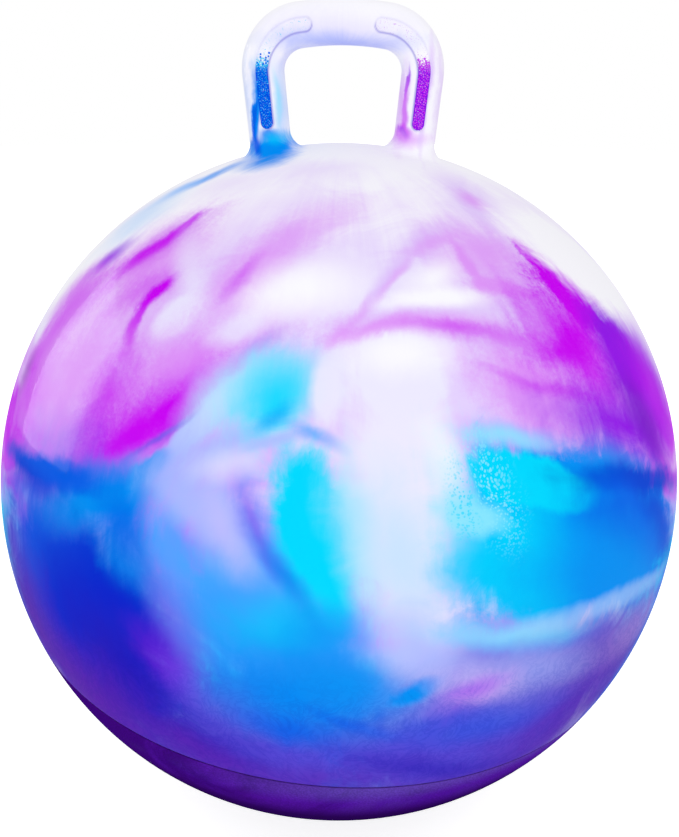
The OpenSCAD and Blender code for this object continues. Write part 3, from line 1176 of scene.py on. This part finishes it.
def base_profile():
    """The base skin's outline: outside, lip, the lap under the upper skin, and back along the inside."""
    sizes = ball()
    upper_edge, edge = ring_turns()
    round_turn = sizes.lip_radius / sizes.radius
    rows = round(sizes.rows * (1 - edge / math.pi))
    floor = sizes.radius - sizes.groove_depth - BASE_CLEARANCE
    lap_turn = upper_edge - sizes.lap / sizes.radius * BASE_LAP_SHARE
    inner = sizes.radius - sizes.base_skin
    points = arc(sizes.radius, math.pi, edge + round_turn, rows)
    points += lip(edge, -1)
    points += [(floor, edge), (floor, lap_turn)]
    points += arc(inner, lap_turn, math.pi, round(rows * INNER_ROW_SHARE))
    return points


CUTTER_SEGMENTS = 64
CUTTER_LENGTH = 0.03


def cut_round_hole(piece, place, axis, radius):
    """Cuts a round hole through a skin, about an axis that passes through it."""
    turn = axis.to_track_quat("Z", "Y").to_matrix().to_4x4()
    edit = bmesh.new()
    bmesh.ops.create_cone(
        edit,
        cap_ends=True,
        segments=CUTTER_SEGMENTS,
        radius1=radius,
        radius2=radius,
        depth=CUTTER_LENGTH,
        matrix=Matrix.Translation(place) @ turn,
    )
    mesh = bpy.data.meshes.new("cutter")
    edit.to_mesh(mesh)
    edit.free()
    cutter = add_object("cutter", mesh)
    modifier = piece.modifiers.new("hole", "BOOLEAN")
    modifier.operation = "DIFFERENCE"
    modifier.solver = "MANIFOLD"
    modifier.object = cutter
    plain_mesh(piece, piece.name)
    bpy.data.objects.remove(cutter)
    bpy.data.meshes.remove(mesh)


def tidy_skin(piece, floor_cut):
    """Turns a skin's faces outwards, flattens the base on the floor and marks its sharp edges."""
    sizes = ball()
    edit = bmesh.new()
    edit.from_mesh(piece.data)
    if floor_cut:
        inner_limit = sizes.radius - sizes.base_skin / 2
        for point in edit.verts:
            if (point.co - ball_centre()).length < inner_limit:
                point.co.z = max(point.co.z, sizes.base_skin)
        everything = edit.verts[:] + edit.edges[:] + edit.faces[:]
        bmesh.ops.bisect_plane(
            edit, geom=everything, plane_co=(0, 0, 0), plane_no=(0, 0, 1), clear_inner=True
        )
        rim = [edge for edge in edit.edges if edge.is_boundary]
        bmesh.ops.holes_fill(edit, edges=rim)
    bmesh.ops.recalc_face_normals(edit, faces=edit.faces[:])
    sharpen(edit, SHARP_EDGE)
    edit.to_mesh(piece.data)
    edit.free()


# The handle


BACK = Vector((0.0, 1.0, 0.0))


def way_round(out, turn):
    """The way from the tube's middle line to its surface, turned from the way out towards the back."""
    return out * math.cos(turn) + BACK * math.sin(turn)


def leg_frame(side):
    """The top of a leg, the way down it and the way out from the loop. Side is 1 at +X and -1 at -X."""
    sizes = handle()
    _, shoulder = shoulder_centre()
    lean = sizes.leg_lean
    top = Vector((
        side * (shoulder.x + sizes.shoulder_radius * math.cos(lean)),
        0.0,
        shoulder.z - sizes.shoulder_radius * math.sin(lean),
    ))
    down = Vector((-side * math.sin(lean), 0.0, -math.cos(lean)))
    out = Vector((side * math.cos(lean), 0.0, -math.sin(lean)))
    return top, down, out


def arch_middle_height():
    """Height of the middle of the bar's arch."""
    sizes = handle()
    return ball_centre().z + ball().radius + sizes.bar_height - sizes.arch_radius


def shoulder_centre():
    """Half the bar's arch angle, and the middle of the right shoulder's bend."""
    sizes = handle()
    reach = sizes.leg_half_span - sizes.shoulder_radius * math.cos(sizes.leg_lean)
    inner = sizes.arch_radius - sizes.shoulder_radius
    half_arch = math.asin(reach / inner)
    return half_arch, Vector((reach, 0.0, arch_middle_height() + inner * math.cos(half_arch)))


def loop_stations():
    """Middle points of the tube from the left leg's top to the right one's: (run, place, way out)."""
    sizes = handle()
    half_arch, shoulder = shoulder_centre()
    arch_centre = Vector((0.0, 0.0, arch_middle_height()))
    arch_run = sizes.arch_radius * half_arch
    bend = math.pi / 2 + sizes.leg_lean - half_arch
    bend_run = sizes.shoulder_radius * bend
    right = []
    arch_steps = round(arch_run / sizes.along)
    for step in range(arch_steps):
        turn = half_arch * step / arch_steps
        out = Vector((math.sin(turn), 0.0, math.cos(turn)))
        right.append((arch_run * step / arch_steps, arch_centre + out * sizes.arch_radius, out))
    bend_steps = round(bend_run / sizes.along)
    for step in range(bend_steps + 1):
        turn = half_arch + bend * step / bend_steps
        out = Vector((math.sin(turn), 0.0, math.cos(turn)))
        right.append((arch_run + bend_run * step / bend_steps, shoulder + out * sizes.shoulder_radius, out))
    flip = Vector((-1.0, 1.0, 1.0))
    left = [(run, place * flip, out * flip) for run, place, out in reversed(right[1:])]
    return left + right, arch_run + bend_run


def run_to_ball(point, down, radius):
    """How far a point goes along a direction before it meets a sphere about the ball's middle."""
    away = point - ball_centre()
    along = away.dot(down)
    return -along - math.sqrt(along ** 2 - away.length_squared + radius ** 2)


def smooth_step(low, high, value):
    """A smooth step from 0 to 1 between two values."""
    at = min(max((value - low) / (high - low), 0.0), 1.0)
    return at * at * (3 - 2 * at)


# Across the edge of a strip, from its outline: where the sunk floor ends and the tube's own surface starts,
# where the raised rim has its crest, how wide the rim and the painted shade line at its edge are, and how far
# that painted shade fades on the side away from the hand opening
STRIP_FLOOR = -0.6 * MILLIMETRE
STRIP_BRINK = 0.15 * MILLIMETRE
RIM_CREST = 0.55 * MILLIMETRE
RIM_SPREAD = 0.45 * MILLIMETRE
EDGE_SHADE_FADE = 0.85


def strip_shape(run, turn, last_run):
    """How deep the tube is sunk at a place along and round it, and the place's two marks: strip, and edge for
    the painted shade along the outline.
    """
    sizes = handle()
    half = sizes.strip_width / 2
    beside = sizes.tube_radius * math.cos(turn)
    first = sizes.strip_reach + half
    last = last_run - sizes.strip_foot - half
    beyond = run - min(max(run, first), last)
    distance = math.hypot(beyond, beside) - half
    inside = 1 - smooth_step(STRIP_FLOOR, STRIP_BRINK, distance)
    rim = math.exp(-(((distance - RIM_CREST) / RIM_SPREAD) ** 2))
    inner = 1 - EDGE_SHADE_FADE * smooth_step(-half / 2, half / 2, beside)
    edge = inner * math.exp(-((distance / RIM_SPREAD) ** 2))
    return sizes.strip_depth * inside - sizes.strip_rim * rim, (inside, edge)


NO_MARKS = (0.0, 0.0)
FILLET_STEPS = 14
TUCK = 0.0008
TUCK_DEPTH = 0.00015


def leg_rows(side, loop_run, turns):
    """Rows of points and their marks down one leg, out on to the ball and just under its surface."""
    sizes = handle()
    top, down, out = leg_frame(side)
    tube, fillet = sizes.tube_radius, sizes.foot_fillet
    centre = ball_centre()
    last_run = loop_run + run_to_ball(top, down, ball().radius)
    rounds = [way_round(out, turn) for turn in turns]
    heads = [top + way * (tube + fillet) for way in rounds]
    falls = [run_to_ball(head, down, ball().radius + fillet) for head in heads]
    steps = round(max(falls) / sizes.along)
    rows = []
    for step in range(1, steps + 1):
        row = []
        for turn, way, fall in zip(turns, rounds, falls):
            run = fall * step / steps
            sunk, marks = strip_shape(loop_run + run, turn, last_run)
            row.append((top + down * run + way * (tube - sunk), marks))
        rows.append(row)
    for step in range(1, FILLET_STEPS + 1):
        row = []
        for way, head, fall in zip(rounds, heads, falls):
            hub = head + down * fall
            to_ball = (centre - hub).normalized()
            row.append((hub + (-way).slerp(to_ball, step / FILLET_STEPS) * fillet, NO_MARKS))
        rows.append(row)
    row = []
    for way, (place, _) in zip(rounds, rows[-1]):
        up = (place - centre).normalized()
        spread = (way - up * way.dot(up)).normalized()
        row.append((place + spread * TUCK - up * TUCK_DEPTH, NO_MARKS))
    rows.append(row)
    return rows


INNER_STEPS = 8


def inner_leg_rows(side, turns):
    """Rows of points down the inside of one leg, into the ball's skin."""
    sizes = handle()
    top, down, out = leg_frame(side)
    bore = sizes.tube_radius - sizes.wall
    rows = []
    for step in range(1, INNER_STEPS + 1):
        row = []
        for turn in turns:
            head = top + way_round(out, turn) * bore
            fall = run_to_ball(head, down, ball().radius - ball().skin)
            row.append((head + down * fall * step / INNER_STEPS, NO_MARKS))
        rows.append(row)
    return rows


INNER_SKIP = 4


def handle_rows(turns):
    """Rows of points and marks round the tube: outside from foot to foot, then back along the bore."""
    sizes = handle()
    stations, loop_run = loop_stations()
    last_run = loop_run + run_to_ball(*leg_frame(1)[:2], ball().radius)
    bore = sizes.tube_radius - sizes.wall
    outside, inside = [], []
    for run, place, out in stations:
        row = []
        for turn in turns:
            sunk, marks = strip_shape(run, turn, last_run)
            row.append((place + way_round(out, turn) * (sizes.tube_radius - sunk), marks))
        outside.append(row)
    for _, place, out in stations[::INNER_SKIP]:
        inside.append([(place + way_round(out, turn) * bore, NO_MARKS) for turn in turns])
    left = leg_rows(-1, loop_run, turns)
    right = leg_rows(1, loop_run, turns)
    left_bore = inner_leg_rows(-1, turns)
    right_bore = inner_leg_rows(1, turns)
    return left[::-1] + outside + right + right_bore[::-1] + inside[::-1] + left_bore


def handle_mesh():
    """The whole handle as a closed grid of rows, with its two marks, the strip and the painted shade at its
    edge, as attributes.
    """
    wide = handle().around
    rows = handle_rows([2 * math.pi * at / wide for at in range(wide)])
    points = [place for row in rows for place, _ in row]
    marks = [pair for row in rows for _, pair in row]
    faces = []
    for row in range(len(rows)):
        below = (row + 1) % len(rows)
        for column in range(wide):
            beside = (column + 1) % wide
            corners = ((row, column), (row, beside), (below, beside), (below, column))
            faces.append([line * wide + at for line, at in corners])
    mesh = bpy.data.meshes.new("handle_loop")
    mesh.from_pydata(points, [], faces)
    for at, name in enumerate(("strip", "edge")):
        attribute = mesh.attributes.new(name, "FLOAT", "POINT")
        attribute.data.foreach_set("value", [pair[at] for pair in marks])
    edit = bmesh.new()
    edit.from_mesh(mesh)
    bmesh.ops.recalc_face_normals(edit, faces=edit.faces[:])
    for face in edit.faces:
        face.smooth = True
    edit.to_mesh(mesh)
    edit.free()
    return mesh


GRAIN_SEED = 7
GRAIN_DENSITY = 6e6
GRAIN_SEGMENTS = 8
GRAIN_RINGS = 4
SMALLEST_GRAIN = 0.75
LARGEST_GRAIN = 1.15
DEEP_IN_STRIP = 0.97


def grain_tree():
    """Scatters small round grains over the sunk strips of the handle."""
    bench, wires = geometry_bench("strip grain", {
        "Handle": "Geometry",
        "Spacing": "Float",
        "Width": "Float",
        "Height": "Float",
        "Full": "Float",
        "None": "Float",
        "Seed": "Int",
        "Finish": "Material",
    }, "Grains")
    surface, spacing, width, height, full, none, seed, finish = wires
    tree = bench.tree
    strip = bench.node("GeometryNodeInputNamedAttribute", {"data_type": "FLOAT"}, {"Name": "strip"})
    deep = bench.node(
        "FunctionNodeCompare",
        {"data_type": "FLOAT", "operation": "GREATER_THAN"},
        {0: strip, 1: DEEP_IN_STRIP},
    )
    scatter = tree.nodes.new("GeometryNodeDistributePointsOnFaces")
    scatter.distribute_method = "POISSON"
    rise = bench.node("GeometryNodeInputPosition").part("Z")
    thick = rise.ease(full, none, 1.0, 0.0)
    links = {
        "Mesh": surface,
        "Selection": deep,
        "Distance Min": spacing,
        "Density Factor": thick,
        "Seed": seed,
    }
    for key, wire in links.items():
        tree.links.new(wire.socket, scatter.inputs[key])
    scatter.inputs["Density Max"].default_value = GRAIN_DENSITY
    grain = bench.node(
        "GeometryNodeMeshUVSphere", values={"Segments": GRAIN_SEGMENTS, "Rings": GRAIN_RINGS, "Radius": 0.5}
    )
    size = bench.node("ShaderNodeCombineXYZ", values={"X": width, "Y": width, "Z": height})
    vary = bench.node(
        "FunctionNodeRandomValue",
        {"data_type": "FLOAT"},
        {2: SMALLEST_GRAIN, 3: LARGEST_GRAIN, "Seed": seed},
        1,
    )
    placed = bench.node(
        "GeometryNodeInstanceOnPoints",
        values={
            "Points": Wire(tree, scatter.outputs["Points"]),
            "Instance": grain,
            "Rotation": Wire(tree, scatter.outputs["Rotation"]),
            "Scale": size.vector("SCALE", scale=vary),
        },
    )
    real = bench.node("GeometryNodeRealizeInstances", values={"Geometry": placed})
    smooth = bench.node("GeometryNodeSetShadeSmooth", values={"Geometry": real})
    finished = bench.node("GeometryNodeSetMaterial", values={"Geometry": smooth, "Material": finish})
    bench.node("NodeGroupOutput", values={0: finished})
    return tree


# The steps that build the ball


class BuildStep:
    """What every operator of this add-on has in common."""

    bl_options = {"REGISTER", "UNDO"}


class HOPPER_OT_dye(BuildStep, bpy.types.Operator):
    """Mixes the marbled dye, with its painted shade and highlights, that all the vinyl shares"""

    bl_idname = "hopper.dye"
    bl_label = "Marbled dye"

    def execute(self, context):
        marbled_group()
        return {"FINISHED"}


VALVE_HOLE_RADIUS = 0.0131


class HOPPER_OT_upper_skin(BuildStep, bpy.types.Operator):
    """Makes the glossy upper skin, open under the legs and at the valve"""

    bl_idname = "hopper.upper_skin"
    bl_label = "Upper skin"

    def execute(self, context):
        piece = spin("upper_skin", upper_profile(), gloss_skin())
        tidy_skin(piece, False)
        sizes = handle()
        for side in (-1, 1):
            top, down, _ = leg_frame(side)
            foot = top + down * run_to_ball(top, down, ball().radius)
            cut_round_hole(piece, foot, down, sizes.tube_radius - sizes.wall)
        valve = ball_centre() + VALVE_AXIS * ball().radius
        cut_round_hole(piece, valve, VALVE_AXIS, VALVE_HOLE_RADIUS)
        tidy_skin(piece, False)
        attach(piece, "ball")
        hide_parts("upper_shell")
        return {"FINISHED"}


class HOPPER_OT_base_skin(BuildStep, bpy.types.Operator):
    """Makes the stippled base skin, flat where it rests on the floor"""

    bl_idname = "hopper.base_skin"
    bl_label = "Base skin"

    def execute(self, context):
        piece = spin("base_skin", base_profile(), stippled_skin())
        tidy_skin(piece, True)
        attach(piece, "ball")
        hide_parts("base_shell")
        return {"FINISHED"}


class HOPPER_OT_handle(BuildStep, bpy.types.Operator):
    """Makes the loop handle with its sunk grip strips"""

    bl_idname = "hopper.handle"
    bl_label = "Handle"

    def execute(self, context):
        piece = add_object("handle_loop", handle_mesh())
        piece.data.materials.append(handle_skin())
        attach(piece, "ball")
        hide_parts("handle")
        return {"FINISHED"}


class HOPPER_OT_grip_grain(BuildStep, bpy.types.Operator):
    """Fills the grip strips with raised grains"""

    bl_idname = "hopper.grip_grain"
    bl_label = "Grip grain"

    def execute(self, context):
        sizes = handle()
        piece = add_object("grip_grain", bpy.data.objects["handle_loop"].data.copy())
        modifier = piece.modifiers.new("grain", "NODES")
        modifier.node_group = grain_tree()
        full, none = strip_heights()
        set_inputs(modifier, {
            "Full": full,
            "None": none,
            "Spacing": sizes.grain_spacing,
            "Width": sizes.grain_width,
            "Height": sizes.grain_height,
            "Seed": GRAIN_SEED,
            "Finish": grain_skin(),
        })
        plain_mesh(piece, "grip_grain")
        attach(piece, "ball")
        return {"FINISHED"}


class HOPPER_OT_valve(BuildStep, bpy.types.Operator):
    """Gives the valve seat and the plug their finishes"""

    bl_idname = "hopper.valve"
    bl_label = "Valve"

    def execute(self, context):
        for node, material in (("valve_seat", valve_vinyl()), ("valve_plug", plug_plastic())):
            for slot in frame["nodes"][node].material_slots:
                slot.material = material
        return {"FINISHED"}


# The stage


def plainly_seen(bench):
    """1 for what the camera sees, straight, mirrored or through a surface, and 0 for light on the object."""
    seen = bench.node("ShaderNodeLightPath", output="Is Camera Ray")
    mirrored = bench.node("ShaderNodeLightPath", output="Is Glossy Ray")
    through = bench.node("ShaderNodeLightPath", output="Is Transmission Ray")
    return seen.most(mirrored).most(through)


def floor_material():
    """A pale floor that looks white to the camera and keeps the shadow."""
    material = bpy.data.materials.new("floor")
    material.use_nodes = True
    tree = material.node_tree
    tree.nodes.clear()
    bench = Wire(tree)
    paint = bench.node("ShaderNodeBsdfDiffuse", values={"Color": (*[studio().floor_shade] * 3, 1.0)})
    lift = plainly_seen(bench) * studio().floor_lift
    glow = bench.node("ShaderNodeEmission", values={"Strength": lift})
    both = bench.node("ShaderNodeAddShader", values={0: paint, 1: glow})
    bench.node("ShaderNodeOutputMaterial", values={"Surface": both})
    return material


def white_world():
    """White light from all round, white to the camera and in reflections."""
    world = bpy.data.worlds.new("studio")
    world.use_nodes = True
    tree = world.node_tree
    tree.nodes.clear()
    bench = Wire(tree)
    ambient = studio().ambient
    strength = plainly_seen(bench) * (1 - ambient) + ambient
    sky = bench.node("ShaderNodeBackground", values={"Color": (1, 1, 1, 1), "Strength": strength})
    bench.node("ShaderNodeOutputWorld", values={"Surface": sky})
    return world


def softbox(name, place, target, wide, high, turn, power):
    """A rectangular light that faces a point, turned about the way it faces."""
    lamp = bpy.data.lights.new(name, "AREA")
    lamp.shape = "RECTANGLE"
    lamp.size = wide
    lamp.size_y = high
    lamp.energy = power
    made = add_object(name, lamp)
    made.location = place
    facing = (Vector(target) - Vector(place)).to_track_quat("-Z", "Y")
    made.rotation_euler = (facing @ Quaternion((0.0, 0.0, 1.0), turn)).to_euler()
    return made


FLOOR_RADIUS = 4.0
FLOOR_SEGMENTS = 96
LEFT_BOX_PLACE = (-1.061, 0.226, 0.515)
LEFT_BOX_TARGET = (-0.201, -0.174, 0.225)
LEFT_BOX_WIDE = 0.65
LEFT_BOX_HIGH = 0.70
LEFT_BOX_TURN = math.radians(13.4)
FRONT_BOX_PLACE = (0.0, -1.65, 0.75)
FRONT_BOX_SIDE = 1.5


def place_camera(scene):
    """The camera at the photograph's viewing angle."""
    lens = bpy.data.cameras.new("camera")
    lens.lens = studio().lens
    lens.sensor_width = SENSOR_SIDE
    camera = add_object("camera", lens)
    place, right, up, forward = camera_frame()
    turned = Matrix((right, up, -forward)).transposed().to_4x4()
    camera.matrix_world = Matrix.Translation(place) @ turned
    scene.camera = camera


class HOPPER_OT_stage(BuildStep, bpy.types.Operator):
    """Sets up the floor, the light and the camera"""

    bl_idname = "hopper.stage"
    bl_label = "Stage"

    def execute(self, context):
        scene = bpy.context.scene
        edit = bmesh.new()
        bmesh.ops.create_circle(edit, cap_ends=True, segments=FLOOR_SEGMENTS, radius=FLOOR_RADIUS)
        mesh = bpy.data.meshes.new("floor")
        edit.to_mesh(mesh)
        edit.free()
        floor = add_object("floor", mesh)
        floor.data.materials.append(floor_material())
        scene.world = white_world()
        light = studio()
        sheen = softbox(
            "left softbox",
            LEFT_BOX_PLACE,
            LEFT_BOX_TARGET,
            LEFT_BOX_WIDE,
            LEFT_BOX_HIGH,
            LEFT_BOX_TURN,
            light.softbox,
        )
        sheen.visible_diffuse = False
        front = softbox(
            "front softbox",
            FRONT_BOX_PLACE,
            ball_centre(),
            FRONT_BOX_SIDE,
            FRONT_BOX_SIDE,
            0.0,
            light.front_light,
        )
        front.visible_glossy = False
        place_camera(scene)
        scene.view_settings.view_transform = "Standard"
        return {"FINISHED"}


STEPS = (
    HOPPER_OT_dye,
    HOPPER_OT_upper_skin,
    HOPPER_OT_base_skin,
    HOPPER_OT_handle,
    HOPPER_OT_grip_grain,
    HOPPER_OT_valve,
    HOPPER_OT_stage,
)


class HOPPER_PT_panel(bpy.types.Panel):
    """Lists the steps that build the hopper ball"""

    bl_idname = "HOPPER_PT_panel"
    bl_label = "Hopper ball"
    bl_space_type = "VIEW_3D"
    bl_region_type = "UI"
    bl_category = "Hopper ball"

    def draw(self, context):
        for step in STEPS:
            self.layout.operator(step.bl_idname)
        for name, group in SETTINGS:
            box = self.layout.box()
            box.label(text=group.__doc__)
            for key in group.__annotations__:
                box.prop(getattr(context.scene, name), key)


def register():
    for name, group in SETTINGS:
        bpy.utils.register_class(group)
        setattr(bpy.types.Scene, name, bpy.props.PointerProperty(type=group))
    for step in STEPS:
        bpy.utils.register_class(step)
    bpy.utils.register_class(HOPPER_PT_panel)


def unregister():
    bpy.utils.unregister_class(HOPPER_PT_panel)
    for step in reversed(STEPS):
        bpy.utils.unregister_class(step)
    for name, group in reversed(SETTINGS):
        delattr(bpy.types.Scene, name)
        bpy.utils.unregister_class(group)


def main():
    register()
    bpy.ops.hopper.dye()
    bpy.ops.hopper.upper_skin()
    bpy.ops.hopper.base_skin()
    bpy.ops.hopper.handle()
    bpy.ops.hopper.grip_grain()
    bpy.ops.hopper.valve()
    bpy.ops.hopper.stage()


if __name__ == "__main__":
    main()
